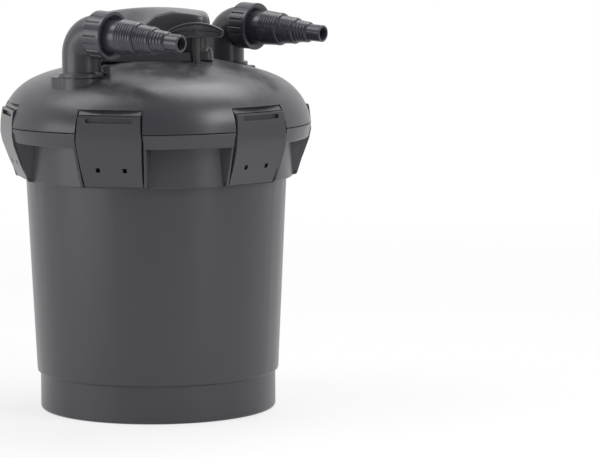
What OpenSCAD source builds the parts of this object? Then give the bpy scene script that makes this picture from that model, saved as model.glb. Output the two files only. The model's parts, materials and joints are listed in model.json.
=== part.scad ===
/* [Tank] */
// Outer radius of the foot ring
foot_r = 142; // [130:0.5:150]
// Height of the foot ring
foot_h = 44.7; // [30:0.1:60]
// Step from the foot ring out to the wall
foot_step = 3.8; // [2:0.1:6]
// Step from the tapered wall out to the skirt
skirt_step = 7.2; // [5:0.1:9]
// Thickness of the moulded walls of tank and lid
wall_t = 4; // [3:0.1:5]
// Thickness of the tank floor
floor_t = 5; // [4:0.1:8]
// How far the upright skirt stands in from the rim's edge
skirt_in = 22.8; // [21:0.1:25]
// Height of the skirt's lower edge above the ground
skirt_z = 279.6; // [270:0.1:284]

/* [Rim] */
// Outer radius of the rim at the seam
rim_r = 186.5; // [185:0.1:190]
// Height of the rim's top face above the ground
rim_z = 343.8; // [340:0.1:348]
// Height of the turned-down outer wall of the rim
rim_h = 17.2; // [14:0.1:22]
// How much the turned-down wall leans in at its lower edge
rim_lean = 3; // [1:0.1:5]
// Thickness of the flat web of the rim
web_t = 8; // [7:0.1:10]
// How far the middle of the lid seal lies in from the rim's edge
seal_in = 20.5; // [19.5:0.1:21.5]
// Width of the lid seal
seal_w = 6; // [4:0.1:6.4]
// Depth of the seal groove
seal_d = 5; // [3:0.1:5.5]
// Gap between tank and lid at the seam
seam_gap = 0.6; // [0.4:0.1:1]

/* [Lid] */
// Radius of the dome's shoulder
shoulder_arc = 68.3; // [60:0.1:76]
// Slope of the dome at the seam, from upright, in degrees
shoulder_a0 = 7.7; // [5:0.1:12]
// Turn of the shoulder where the crown starts, in degrees
crown_a0 = 64; // [60:0.1:68]
// Radius of the dome's crown
crown_arc = 136; // [120:0.5:150]
// Turn of the crown where the top cone starts, in degrees
crown_a1 = 76.6; // [74:0.1:79]
// Radius of the flat top that carries the head
plateau_r = 66; // [60:0.5:70]

/* [Clips] */
// Number of clips round the rim
clip_count = 6; // [6]
// Turn of the first clip from the front, in degrees
clip_turn = -17.6; // [-30:0.1:30]
// Width of a clip at its knee, where it is widest
clip_w = 79.5; // [70:0.5:84]
// Width of a clip at its top
clip_top_w = 75; // [66:0.5:79]
// Width of a clip at its hinge
clip_foot_w = 71; // [60:0.5:74]
// Thickness of a clip
clip_t = 4; // [3:0.1:4.5]
// Gap between a clip and the pocket at each side
clip_gap = 2; // [1.5:0.1:3]
// How far a clip's outer face stands in from the rim's edge, at its knee
clip_in = 4; // [2.5:0.1:5.5]
// Height of a clip's top above the seam
clip_rise = 21.2; // [18:0.1:22]
// Reach of the hook lip behind the clip
lip_reach = 5.3; // [4:0.1:6]
// Steepness of the hook flank, in degrees
flank_a = 61.9; // [61.5:0.1:64]
// Radius of the hinge pins
pin_r = 1.6; // [1.2:0.05:1.8]
// Radius of a clip's hinge barrel
barrel_r = 3; // [2.6:0.1:3.4]
// Height of the hinge pins above the skirt's lower edge
hinge_rise = 4.4; // [3.4:0.1:6]
// Thickness of the gusset ribs beside a clip
gusset_t = 3; // [2:0.1:4]

/* [Ports] */
// Distance of the ports from the axis
port_rho = 132; // [130:0.1:136]
// Turn of the outlet port from the right-hand side, in degrees
port_turn = 49.2; // [45:0.1:52]
// Outer radius of the elbows
pipe_r = 22.8; // [21:0.1:23.4]
// Wall thickness of the elbows
pipe_t = 3; // [2:0.1:4]
// Radius about the lid's axis at which the pad under an elbow ends
pad_end = 157; // [155:0.5:160]
// Turn of the pads from the right-hand side, in degrees
pad_turn = 45.7; // [43:0.1:49]
// Width of the pad under an elbow
pad_w = 52; // [51:0.5:56]
// Corner radius of the pad under an elbow
pad_corner = 12; // [5:0.5:16]
// Height of the pad above the dome at the port
boss_rise = 1.3; // [0.3:0.1:3]
// Height of the elbow's mouth above the boss
mouth_rise = 51.7; // [49:0.1:58]
// Heading of the hose tails from the right-hand side, in degrees
heading = -38; // [-44:0.5:-32]
// Droop of the hose tails below level, in degrees
droop = 3.5; // [0:0.1:5]
// Radius of the bend of the elbows
bend_r = 23.8; // [23.6:0.1:25]

/* [Hose tails] */
// Outer radius of the union nuts over their ribs
nut_r = 28.5; // [28:0.1:30]
// Length of the union nuts
nut_len = 23.3; // [22:0.1:28]
// Number of grip ribs on a nut
nut_ribs = 20; // [12:1:28]
// Radius of the largest barb
barb_r1 = 20.5; // [20:0.1:21]
// Radius of the second barb
barb_r2 = 16.7; // [16:0.1:18]
// Radius of the third barb
barb_r3 = 13.2; // [12.5:0.1:14.5]
// Radius of the smooth tip
tip_r = 10.2; // [9.8:0.1:11]
// Length of the smooth collar between the nut and the first barb
tail_neck = 13.6; // [4:0.1:16]
// Length of the first barbed step
step_1 = 26.5; // [22:0.1:30]
// Length of the second barbed step
step_2 = 21.8; // [18:0.1:25]
// Length of the third barbed step
step_3 = 18.4; // [15:0.1:22]
// Length of the smooth tip
tip_len = 18.9; // [15:0.1:25]
// Radius of the bore at the tip
tip_bore_r = 7.4; // [6:0.1:8]

/* [Head] */
// Width of the head's base plate
base_w = 137; // [134:0.5:142]
// Corner radius of the head's base plate
base_corner = 8.5; // [5:0.5:20]
// Thickness of the head's base plate
base_h = 9.8; // [8:0.1:12]
// Height of the shadow gap between the base plate and the hood
gap_h = 4.8; // [3:0.1:6]
// Distance from the axis to the front of the base plate
base_front = 60; // [56:0.5:64]
// Distance from the axis to the base plate's front edge beside the pull rod
base_notch = 43; // [40:0.5:46]
// Distance from the axis to the back of the base plate
base_back = 62; // [56:0.5:70]
// Width of the hood
hood_w = 133.5; // [128:0.5:136]
// Distance from the axis to the front of the hood
hood_front = 46; // [44:0.5:48]
// Height of the hood
hood_h = 46; // [40:0.1:48]
// Depth of the hollow in the hood's front left corner
hollow_d = 30; // [20:0.5:33]
// Length of the ultraviolet lamp's quartz sleeve
quartz_len = 300; // [240:1:320]

/* [Cleaning pull] */
// Distance of the pull rod to the right of the axis
pull_x = 47.5; // [44:0.5:50]
// Distance of the pull rod to the front of the axis
pull_y = 56; // [55:0.5:58]
// Radius of the pull rod
rod_r = 4.8; // [4:0.1:5.2]
// Height of the grip's underside above the dome at the rod
grip_rise = 29.4; // [28:0.1:40]
// Width of the grip
grip_w = 66; // [60:0.5:74]
// Height of the grip
grip_h = 18; // [16:0.1:20]
// Thickness of the grip
grip_t = 13; // [10:0.1:14]

/* [Foams] */
// Number of foam rings
foam_count = 4; // [4]
// Outer radius of the foam rings
foam_r = 127; // [115:0.5:128]
// Height of one foam ring
foam_h = 56.5; // [50:0.5:60]
// Height of the top plate's underside above the ground
stack_z = 326; // [320:0.5:330]
// Outer radius of the perforated centre tube
tube_r = 45; // [40:0.5:46]

/* [Hidden] */

$fn = 96;
plastic = "#525256";
dark = "#3a3a3e";
cut = 1;                  // overshoot of every cutting solid
slack = 0.3;              // gap between curved faces of different pieces
run = 0.05;               // radial clearance of a shaft in its hole
edge = 1.2;               // rounding of moulded edges

// Points of an arc about (cx, cy), from angle a0 to a1, in n steps.
function arc(cx, cy, r, a0, a1, n) =
    [for (i = [0:n]) let (a = a0 + (a1 - a0) * i / n) [cx + r * cos(a), cy + r * sin(a)]];

// Smooth step from 0 at t = 0 to 1 at t = 1.
function ease(t) = let (s = min(1, max(0, t))) s * s * (3 - 2 * s);

// Tank and rim
skirt_r = rim_r - skirt_in;
wall_r = skirt_r - skirt_step;
seal_r = rim_r - seal_in;
wall_low_r = foot_r + foot_step;
mouth_r = skirt_r - wall_t;
web_z = rim_z - web_t;
rim_low_r = rim_r - rim_lean;
rim_low_z = rim_z - rim_h;
rim_t = wall_t - 0.5;

// Dome: a shoulder arc, a crown arc tangent to it, and a cone up to the flat top.
lid_z = rim_z + seam_gap;
c1x = rim_r - edge / 4 - shoulder_arc * cos(shoulder_a0);
c1z = lid_z + edge - shoulder_arc * sin(shoulder_a0);
c2x = c1x + (shoulder_arc - crown_arc) * cos(crown_a0);
c2z = c1z + (shoulder_arc - crown_arc) * sin(crown_a0);
cone_a = 90 - crown_a1;
cone_r = c2x + crown_arc * cos(crown_a1);
cone_z = c2z + crown_arc * sin(crown_a1);
top_z = cone_z + (cone_r - plateau_r) * tan(cone_a);

// Height of the dome's outer face at a distance r from the axis.
function dome_z(r) =
    r < plateau_r ? top_z :
    r < cone_r ? cone_z + (cone_r - r) * tan(cone_a) :
    r < c2x + crown_arc * cos(crown_a0) ? c2z + sqrt(crown_arc * crown_arc - (r - c2x) * (r - c2x)) :
    c1z + sqrt(shoulder_arc * shoulder_arc - (r - c1x) * (r - c1x));

// Clips
clip_x = rim_r - clip_in;
pocket_w = clip_w + 2 * clip_gap;
pocket_foot_w = clip_foot_w + 2 * clip_gap;
hinge_z = skirt_z + hinge_rise;
flat_x = sqrt(skirt_r * skirt_r - pow(pocket_w / 2 + 0.4, 2));
hinge_x = flat_x + slack + barrel_r;
clip_top = rim_z + clip_rise;
clip_knee = rim_z - 8.8;
clip_shoulder = rim_z - 20.6;
clip_in_x = clip_x - clip_t;
rim_cut_x = clip_in_x - 0.7;
lip_x = clip_in_x - lip_reach;
flank = tan(flank_a);
lip_low_z = clip_top - 2.6 - lip_reach * flank;
pocket_x = lip_x - 1.7;
pocket_top = clip_top + 7;
bead_x = lip_x + 3.4;
flank_gap = 1.1;
taper_a = atan((clip_w - clip_foot_w) / 2 / (clip_knee - hinge_z));
pin_inset = 1.2;
clip_turns = [for (i = [0:clip_count - 1]) clip_turn - 60 + i * 360 / clip_count];

// Ports, elbows and hose tails; s is the distance along the mouth's axis from the bend's corner.
out_x = port_rho * cos(port_turn);
out_y = port_rho * sin(port_turn);
boss_z = dome_z(port_rho) + boss_rise;
mouth_z = boss_z + mouth_rise;
port_len = 30;
bore_r = pipe_r - pipe_t;
flange_r = pipe_r + 4.6;
flange_h = 5;
corner_len = bend_r * tan((90 + droop) / 2);
// The bend stands this much proud of the straight pipe.
bend_lip = 0.1;
nut_s = (pipe_r + slack + nut_r * sin(droop)) / cos(droop) + 0.02;
nut_end = nut_s + nut_len;
lip_t = 5.2;
thread_r = pipe_r + 0.9;
nut_bore_r = thread_r + slack;
spigot_end = nut_s + 11.6;
gasket_t = 2;
// The gasket lies this far off the spigot's end.
gasket_play = 0.02;
collar_s = spigot_end + gasket_t;
collar_t = nut_end - lip_t - collar_s - 0.3;
tail_s = nut_end + tail_neck;
tip_s = tail_s + step_1 + step_2 + step_3 + tip_len;
collar_r = barb_r1 - 0.9;
tail_bore = barb_r1 - 4.2;

// Head
head_z = top_z;
hood_z = head_z + base_h + gap_h;
spigot_r = 29.7;
sleeve_r = 21.5;
sleeve_t = 1.7;
sleeve_z = hood_z - 8;
hood_back = base_back - 4;

// Pull
pull_a = atan2(-pull_y, pull_x);
pull_rho = sqrt(pull_x * pull_x + pull_y * pull_y);
grip_z = dome_z(pull_rho) + grip_rise;
plate_t = 6;
stack_low = stack_z - foam_count * foam_h - 0.3;
press_t = 8;
press_z = stack_low - press_t;
tube_low = press_z - 14;
duct_z = boss_z - port_len - 4.8;
duct_h = 24;
duct_low = duct_z - duct_h;
tube_flange = 6;
tube_top = duct_low - 0.1;

module at_clip(i) {
    rotate([0, 0, clip_turns[i] - 90]) children();
}

// A plate with its outline in (x, z), centred on the lateral axis.
module side_plate(points, width) {
    rotate([90, 0, 0]) linear_extrude(width, center = true) polygon(points);
}

// Half the width of a clip at a height z; it widens from its foot to the knee, then narrows.
function clip_half(z) = z < clip_knee
    ? (clip_foot_w + (clip_w - clip_foot_w) * (z - hinge_z) / (clip_knee - hinge_z)) / 2
    : (clip_w - (clip_w - clip_top_w) * (z - clip_knee) / (clip_top - clip_knee)) / 2;

// Everything between a clip's two sides, moved out by side, as a block along x.
module clip_block(x0, x1, z0, z1, side) {
    levels = concat([z0], z0 < clip_knee && clip_knee < z1 ? [clip_knee] : [], [z1]);
    translate([x0, 0, 0]) rotate([90, 0, 90]) linear_extrude(x1 - x0)
        polygon(concat([for (z = levels) [clip_half(z) + side, z]],
            [for (i = [len(levels) - 1:-1:0]) [-clip_half(levels[i]) - side, levels[i]]]));
}

// Rounded rectangle from xa to xb and ya to yb.
module slab(xa, xb, ya, yb, r) {
    translate([xa + r, ya]) square([xb - xa - 2 * r, yb - ya]);
    translate([xa, ya + r]) square([xb - xa, yb - ya - 2 * r]);
    for (x = [xa + r, xb - r], y = [ya + r, yb - r]) translate([x, y]) circle(r);
}

module ring(r_out, r_in, z0, z1) {
    translate([0, 0, z0]) difference() {
        cylinder(h = z1 - z0, r = r_out);
        translate([0, 0, -cut]) cylinder(h = z1 - z0 + 2 * cut, r = r_in);
    }
}

module tank_shell() {
    rotate_extrude($fn = 180) polygon(concat(
        [[0, 0]],
        arc(foot_r - 4, 4, 4, -90, 0, 6),
        [[foot_r, foot_h - 1], [foot_r + 0.4, foot_h]],
        arc(wall_low_r - foot_step + 0.6, foot_h + 3.6, foot_step - 0.6, -70, 0, 6),
        [[wall_r, skirt_z]],
        arc(skirt_r - edge, skirt_z + edge, edge, -90, 0, 4),
        [[skirt_r, web_z], [rim_r - rim_t - 0.6, web_z], [rim_low_r - rim_t, rim_low_z + edge],
         [rim_low_r - rim_t + 0.8, rim_low_z]],
        arc(rim_low_r - 2.4, rim_low_z + 2.4, 2.4, -90, -5, 6),
        arc(rim_r - edge, rim_z - edge, edge, 0, 90, 4),
        [[seal_r + seal_w / 2, rim_z], [seal_r + seal_w / 2, rim_z - seal_d],
         [seal_r - seal_w / 2, rim_z - seal_d], [seal_r - seal_w / 2, rim_z],
         [mouth_r, rim_z], [mouth_r, skirt_z + wall_t], [wall_r - wall_t, skirt_z - 1],
         [wall_low_r - wall_t, foot_h + 5], [foot_r - wall_t, foot_h]],
        arc(foot_r - wall_t - 5, floor_t + 5, 5, 0, -90, 5),
        [[0, floor_t]]));
}

// One of the two gusset ribs beside a clip, leaning with the clip's side.
module gusset(side) {
    x0 = flat_x - wall_t + 1;
    y = side * (pocket_foot_w + gusset_t) / 2;
    difference() {
        translate([0, y, hinge_z]) rotate([side * -taper_a, 0, 0])
            rotate([90, 0, 0]) linear_extrude(gusset_t, center = true) {
                translate([hinge_x, 0]) circle(barrel_r + 0.6);
                polygon([[x0, -hinge_rise], [hinge_x + 1.4, -hinge_rise + 1],
                    [hinge_x + barrel_r + 0.6, 0], [clip_x - 5.4, clip_shoulder - hinge_z],
                    [clip_x - 4.4, rim_low_z - hinge_z + 3], [clip_x - 4.4, web_z - hinge_z + 2],
                    [x0, web_z - hinge_z + 2]]);
            }
        translate([hinge_x, y, hinge_z]) rotate([90, 0, 0])
            cylinder(h = 3 * gusset_t, r = pin_r + 0.02, center = true, $fn = 32);
    }
}

module tank() {
    color(plastic) {
        difference() {
            tank_shell();
            for (i = [0:clip_count - 1]) at_clip(i) {
                clip_block(rim_cut_x, rim_r + 20, rim_low_z - cut, rim_z + cut, clip_gap);
                clip_block(flat_x, rim_r + 20, skirt_z - cut, web_z, clip_gap);
            }
        }
        for (i = [0:clip_count - 1]) at_clip(i) {
            translate([flat_x - wall_t, -pocket_w / 2, skirt_z - 0.5])
                cube([wall_t, pocket_w, web_z - skirt_z + 1]);
            for (side = [-1, 1]) gusset(side);
        }
    }
}

module clip_pins() {
    pin_len = pocket_foot_w + 2 * gusset_t - 2 * pin_inset;
    color("silver") for (i = [0:clip_count - 1]) at_clip(i)
        translate([hinge_x, 0, hinge_z]) rotate([90, 0, 0])
            cylinder(h = pin_len, r = pin_r, center = true, $fn = 32);
}

module lid_seal() {
    color("#202022") ring(seal_r + seal_w / 2 - run, seal_r - seal_w / 2 + run, rim_z - seal_d, lid_z);
}

// Half section of the dome: the outer face, moved in by t along its normal.
function dome_face(t) = concat(
    arc(c1x, c1z, shoulder_arc - t, shoulder_a0, crown_a0, 12),
    arc(c2x, c2z, crown_arc - t, crown_a0, crown_a1, 6));

module dome_solid() {
    rotate_extrude($fn = 180) polygon(concat([[0, lid_z], [rim_r - edge, lid_z]],
        arc(rim_r - edge, lid_z + edge, edge, -80, 0, 3),
        dome_face(0), [[plateau_r, top_z], [0, top_z]]));
}

module dome_inside() {
    drop = wall_t / cos(cone_a);
    intersection() {
        rotate_extrude($fn = 180) polygon(concat([[0, lid_z + wall_t],
            [c1x + (shoulder_arc - wall_t) * cos(shoulder_a0), lid_z + wall_t]],
            dome_face(wall_t), [[plateau_r, top_z - drop], [0, top_z - drop]]));
        translate([0, 0, lid_z + wall_t]) cylinder(h = top_z, r = rim_r + 10);
    }
}

// Pad under an elbow: a block that ends in an arc about the lid's axis, with rounded corners.
module port_pad(turn) {
    low = lid_z + 30;
    for (inset = [0, 0.8]) rotate([0, 0, turn]) translate([0, 0, low])
        linear_extrude(boss_z - low - (inset == 0 ? 1 : 0)) pad_outline(inset);
}

module pad_outline(inset) {
    corner = pad_corner - inset;
    half = pad_w / 2 - inset;
    end = pad_end - inset;
    side_a = asin((half - corner) / (end - corner));
    cx = (end - corner) * cos(side_a);
    polygon(concat([[port_rho - 36, -half]], arc(cx, corner - half, corner, -90, -side_a, 6),
        arc(0, 0, end, -side_a, side_a, 8), arc(cx, half - corner, corner, side_a, 90, 6),
        [[port_rho - 36, half]]));
}

// Catch of the lid that reaches over an elbow's foot flange.
module port_catch() {
    catch_r = 4.2;
    catch_x = flange_r + 1.3;
    translate([0, 0, boss_z + 9.6]) rotate([90, 0, 0]) linear_extrude(12, center = true) {
        translate([catch_x, 0]) circle(catch_r, $fn = 40);
        translate([catch_x - 0.3, -14]) square([catch_r + 0.3, 14]);
    }
}

module lid() {
    ports = [[-out_x, -out_y], [out_x, out_y]];
    color(plastic) difference() {
        union() {
            difference() {
                dome_solid();
                dome_inside();
                translate([0, 0, lid_z - cut]) cylinder(h = wall_t + 2 * cut, r = mouth_r - 1.5);
            }
            intersection() {
                dome_solid();
                for (i = [0:clip_count - 1]) at_clip(i)
                    clip_block(pocket_x - wall_t, rim_r + 20, lid_z, pocket_top + 3, clip_gap + 3);
            }
            for (p = ports) {
                difference() {
                    port_pad(p[0] < 0 ? pad_turn + 180 : pad_turn);
                    dome_inside();
                }
                intersection() {
                    dome_solid();
                    translate([p[0], p[1], boss_z - 5]) cylinder(h = 40, r = flange_r + 4.6);
                }
                translate([p[0], p[1], boss_z - port_len]) cylinder(h = port_len - 1, r = pipe_r + 4);
            }
            translate([0, 0, top_z - 14]) cylinder(h = 13, r = spigot_r + 5);
            rotate([0, 0, pull_a]) translate([pull_rho, 0, dome_z(pull_rho) - 22])
                cylinder(h = 21, r = rod_r + 5);
        }
        for (i = [0:clip_count - 1]) at_clip(i) difference() {
            clip_block(pocket_x, rim_r + 20, lid_z - cut, pocket_top, clip_gap);
            side_plate([[pocket_x - cut, lid_z + 2], [pocket_x, lid_z + 2], [bead_x, lid_z + 6],
                [bead_x, bead_z(bead_x)], [pocket_x, bead_z(pocket_x)],
                [pocket_x - cut, bead_z(pocket_x)]], clip_w - 16);
            side_plate([[pocket_x - cut, clip_top + 0.8], [clip_x - 6, clip_top + 0.8],
                [pocket_x, pocket_top - 0.8], [pocket_x - cut, pocket_top - 0.8]], clip_top_w);
        }
        for (p = ports) translate([p[0], p[1], boss_z - port_len - cut])
            cylinder(h = port_len + 2 * cut, r = pipe_r + run);
        for (p = ports) translate([p[0], p[1], boss_z - 14]) cylinder(h = 4, r = pipe_r + 1.8);
        for (p = ports) translate([p[0], p[1], boss_z]) cylinder(h = 40, r = flange_r + 0.6);
        translate([0, 0, top_z - 30]) cylinder(h = 30 + cut, r = spigot_r + run);
        rotate([0, 0, pull_a]) translate([pull_rho, 0, dome_z(pull_rho) - 40]) {
            cylinder(h = 60, r = rod_r + run);
            translate([0, 0, 24]) cylinder(h = 4, r = rod_r + 2);
        }
        for (p = screw_places) translate([p[0], p[1], top_z - 10]) cylinder(h = 11, r = 1.6, $fn = 24);
    }
    color(plastic) for (p = ports) translate([p[0], p[1], 0]) rotate([0, 0, p[0] < 0 ? 0 : 180]) port_catch();
}

// Height of the bead's upper flank, which the clip's lip hooks over, at a distance x.
function bead_z(x) = lip_low_z + (clip_in_x - x) * flank - flank_gap;

module clip() {
    difference() {
        intersection() {
            union() {
                side_plate([[hinge_x - 1, hinge_z - barrel_r + 0.4], [hinge_x + barrel_r, hinge_z],
                    [clip_x - 10.1, hinge_z + 17.5], [clip_x - 2.2, clip_shoulder + 0.1],
                    [clip_x, clip_knee], [clip_x - 0.3, rim_z + 5.2],
                    [clip_x - 1.9, clip_top - 2.4], [clip_x - 2.9, clip_top - 0.4],
                    [clip_x - 3.9, clip_top], [lip_x + 0.4, clip_top], [lip_x, clip_top - 0.6],
                    [lip_x, lip_low_z + lip_reach * flank], [clip_in_x, lip_low_z],
                    [clip_in_x, clip_knee], [clip_x - 2.2 - clip_t, clip_shoulder + 1],
                    [hinge_x - 1, hinge_z + 9]], clip_w + 10);
                translate([hinge_x, 0, hinge_z]) rotate([90, 0, 0])
                    cylinder(h = clip_w, r = barrel_r, center = true, $fn = 32);
            }
            clip_block(hinge_x - barrel_r - 1, clip_x + 5, hinge_z - 10, clip_top + cut, 0);
        }
        translate([hinge_x, 0, hinge_z]) rotate([90, 0, 0])
            cylinder(h = clip_w + 2, r = pin_r + run, center = true, $fn = 48);
        clip_slot();
        for (y = [-16.3, 16.3]) translate([hinge_x, y - 2.6, hinge_z + 15]) cube([20, 5.2, 5.2]);
    }
}

// Grip slot near the clip's top, with rounded corners.
module clip_slot() {
    slot_len = clip_w - 23;
    slot_h = 5.2;
    translate([clip_x - 5.2, 0, clip_top - 5.4]) rotate([90, 0, 90]) linear_extrude(12)
        slab(-slot_len / 2, slot_len / 2, -slot_h / 2, slot_h / 2, 1.6);
}

module clip_node(i) {
    color(plastic) at_clip(i) clip();
}

module top_plate() {
    color(dark) difference() {
        ring(foam_r + 2, tube_r + run, stack_z, stack_z + plate_t);
        rotate([0, 0, pull_a]) translate([pull_rho, 0, stack_z - cut])
            cylinder(h = plate_t + 2 * cut, r = rod_r + slack);
        plate_windows(stack_z, plate_t, tube_r + 8, foam_r - 10);
    }
}

// Sector windows of a plate, apart from one spoke that carries the pull rod.
module plate_windows(z, h, r0, r1) {
    windows = 9;
    difference() {
        ring(r1, r0, z - cut, z + h + cut);
        for (k = [0:windows - 1]) rotate([0, 0, pull_a + k * 360 / windows])
            translate([0, k == 0 ? -9 : -4, z - 2 * cut]) cube([r1 + cut, k == 0 ? 18 : 8, h + 4 * cut]);
        ring((r0 + r1) / 2 + 4, (r0 + r1) / 2 - 4, z - 2 * cut, z + h + 2 * cut);
    }
}

// Plan of the duct: a hub, a channel and a round end under the outlet port.
module duct_plan(hub, half, end) {
    circle(hub);
    translate([0, -half]) square([port_rho, 2 * half]);
    translate([port_rho, 0]) circle(end);
}

module outlet_duct() {
    wall = 3;
    end_r = bore_r + 1;
    color(dark) difference() {
        union() {
            rotate([0, 0, port_turn]) translate([0, 0, duct_low]) linear_extrude(duct_h)
                duct_plan(tube_r + 5, 22, end_r + wall);
            translate([0, 0, duct_z - 1]) cylinder(h = head_z - 12.1 - duct_z + 1, r = sleeve_r + 6);
        }
        rotate([0, 0, port_turn]) translate([0, 0, duct_low + wall]) linear_extrude(duct_h - 2 * wall)
            duct_plan(tube_r + 5 - wall, 22 - wall, end_r);
        translate([0, 0, duct_low - cut]) cylinder(h = wall + 2 * cut, r = tube_r - 3.5);
        translate([out_x, out_y, duct_z - wall - cut]) cylinder(h = wall + 2 * cut, r = bore_r);
        translate([0, 0, duct_z - wall - cut]) cylinder(h = head_z - duct_z + 10, r = sleeve_r + 3);
    }
}

module centre_tube() {
    tube_t = 3;
    rows = 9;
    slots = 8;
    color(dark) difference() {
        union() {
            ring(tube_r, tube_r - tube_t, tube_low, tube_top);
            ring(tube_r + 5, tube_r - tube_t, tube_top - tube_flange, tube_top);
            ring(tube_r + 4, tube_r - tube_t, stack_z + plate_t + 0.1, stack_z + plate_t + 4);
            translate([0, 0, tube_low]) cylinder(h = 4, r = tube_r + 6);
            ring(tube_r + 6, tube_r - tube_t, tube_low, press_z - 0.1);
        }
        for (k = [0:rows - 1], j = [0:slots / 2 - 1])
            translate([0, 0, stack_low + 12 + k * (stack_z - stack_low - 24) / (rows - 1)])
                rotate([0, 0, (j + 0.5 * (k % 2)) * 360 / slots])
                    cube([2 * tube_r + 10, 14, 9], center = true);
    }
}

module foam_ring(k) {
    z1 = stack_z - k * foam_h - 0.15;
    color(k % 2 == 0 ? "#2f4f7f" : "#3c5c8c") difference() {
        ring(foam_r, tube_r + 1, z1 - foam_h + 0.15, z1);
        rotate([0, 0, pull_a]) translate([pull_rho, 0, z1 - foam_h - cut])
            cylinder(h = foam_h + 2 * cut, r = rod_r + 1);
    }
}

screw_places = [for (x = [-1, 1], y = [-1, 1]) [x * (base_w / 2 - 20), y < 0 ? -33 : base_back - 17]];

// Plan of the base plate, grown by g: its front ledge ends beside the pull rod.
module base_plan(g) {
    ledge_x = pull_x - rod_r - 1.6 + g;
    r = base_corner + g;
    slab(-base_w / 2 - g, base_w / 2 + g, -base_notch - g, base_back + g, r);
    slab(-base_w / 2 - g, ledge_x, -base_front - g, 0, r);
    translate([0, -base_front - g]) square([ledge_x, base_front]);
}

module head_base() {
    plinth = 4;
    color(plastic) difference() {
        union() {
            translate([0, 0, head_z]) linear_extrude(base_h) base_plan(0);
            translate([0, 0, head_z]) linear_extrude(hood_z - head_z)
                slab(-hood_w / 2 + plinth, hood_w / 2 - plinth, -hood_front + plinth, hood_back - plinth, 12);
            translate([0, 0, head_z - 12]) cylinder(h = 13, r = spigot_r);
        }
        translate([0, 0, head_z - 20]) cylinder(h = base_h + 40, r = sleeve_r + 0.4);
        translate([0, 0, sleeve_z]) cylinder(h = 30, r = sleeve_r + 4);
        for (p = screw_places) translate([p[0], p[1], 0]) {
            translate([0, 0, head_z - cut]) cylinder(h = 40, r = 2.2, $fn = 24);
            translate([0, 0, hood_z - 3]) cylinder(h = 10, r = 4.2, $fn = 32);
        }
        difference() {
            translate([0, 0, head_z + base_h - 1.2]) linear_extrude(1.2 + cut) base_plan(1);
            translate([0, 0, head_z + base_h - 2]) linear_extrude(cut + 6) base_plan(-1);
        }
    }
}

module head_screws() {
    color("silver") for (p = screw_places) translate([p[0], p[1], 0]) {
        translate([0, 0, hood_z - 3]) cylinder(h = 2.4, r = 3.8, $fn = 32);
        translate([0, 0, head_z - 9]) cylinder(h = hood_z - head_z + 7, r = 1.58, $fn = 24);
    }
}

// Height of the hood's top face above its foot, with its crown and the hollow at the front left.
function hood_top(x, y) = hood_h - 6.6 * pow(2 * x / hood_w, 2) - 2 * pow((y - 6) / 52, 2)
    - hollow_d * ease((14 - x) / 54) * ease((15 - y) / 61);

// Plan outline of the hood, a rounded rectangle, scaled by k about its middle.
hood_ring = 56;
function hood_point(k, j) = let (a = j * 360 / hood_ring, n = 0.27, mid = (hood_back - hood_front) / 2)
    [k * hood_w / 2 * sign(cos(a)) * pow(abs(cos(a)), n),
     mid + k * (hood_back + hood_front) / 2 * sign(sin(a)) * pow(abs(sin(a)), n)];

// Steps of the hood from its foot over its rounded edge to the middle: plan scale and drop.
hood_steps = [[1, 0], [0.995, 0.03], [0.985, 0.45], [0.978, 0.72], [0.968, 0.84], [0.945, 0.93],
    [0.905, 0.98], [0.85, 1], [0.7, 1], [0.5, 1], [0.3, 1], [0.12, 1]];
function hood_grid(base) = [for (s = hood_steps, j = [0:hood_ring - 1])
    let (p = hood_point(s[0], j))
    [p[0], p[1], s[1] == 0 ? base : base + s[1] * hood_top(p[0], p[1])]];

module hood_solid() {
    n = hood_ring;
    rows = len(hood_steps);
    top = concat(hood_grid(hood_z), [[0, (hood_back - hood_front) / 2,
        hood_z + hood_top(0, (hood_back - hood_front) / 2)]]);
    sides = [for (r = [0:rows - 2], j = [0:n - 1], t = [0, 1]) let (k = (j + 1) % n)
        t == 0 ? [r * n + j, (r + 1) * n + j, r * n + k] : [(r + 1) * n + j, (r + 1) * n + k, r * n + k]];
    cap = [for (j = [0:n - 1]) [(rows - 1) * n + j, rows * n, (rows - 1) * n + (j + 1) % n]];
    foot = [[for (j = [0:n - 1]) j]];
    polyhedron(points = top, faces = concat(sides, cap, foot), convexity = 4);
}

module hood() {
    x = hood_w / 2 - 8;
    y = hood_back - 7;
    color(plastic) difference() {
        hood_solid();
        translate([0, 0, hood_z - cut]) linear_extrude(cut + 15) {
            slab(-x, x, 4, y, 6);
            slab(-14, x, -hood_front + 7, y, 6);
            circle(31);
        }
        translate([-24, hood_back - 20, hood_z + 8.5]) rotate([-90, 0, 0]) cylinder(h = 30, r = 6.05);
    }
}

module ballast() {
    width = 92;
    depth = 18;
    color("#b8b8bc") translate([hood_w / 2 - 24.75 - width, hood_back - 9.5 - depth, hood_z + 0.2])
        cube([width, depth, 14]);
}

module cable_gland() {
    color("#2c2c30") translate([-24, hood_back + 0.2, hood_z + 8.5]) rotate([-90, 0, 0]) difference() {
        union() {
            cylinder(h = 4, r = 8, $fn = 6);
            translate([0, 0, 4]) cylinder(h = 8, r = 7);
            translate([0, 0, 12]) cylinder(h = 5, r1 = 7, r2 = 4.8);
            translate([0, 0, -7]) cylinder(h = 7, r = 6);
        }
        translate([0, 0, -8]) cylinder(h = 40, r = 3.4);
    }
}

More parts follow.
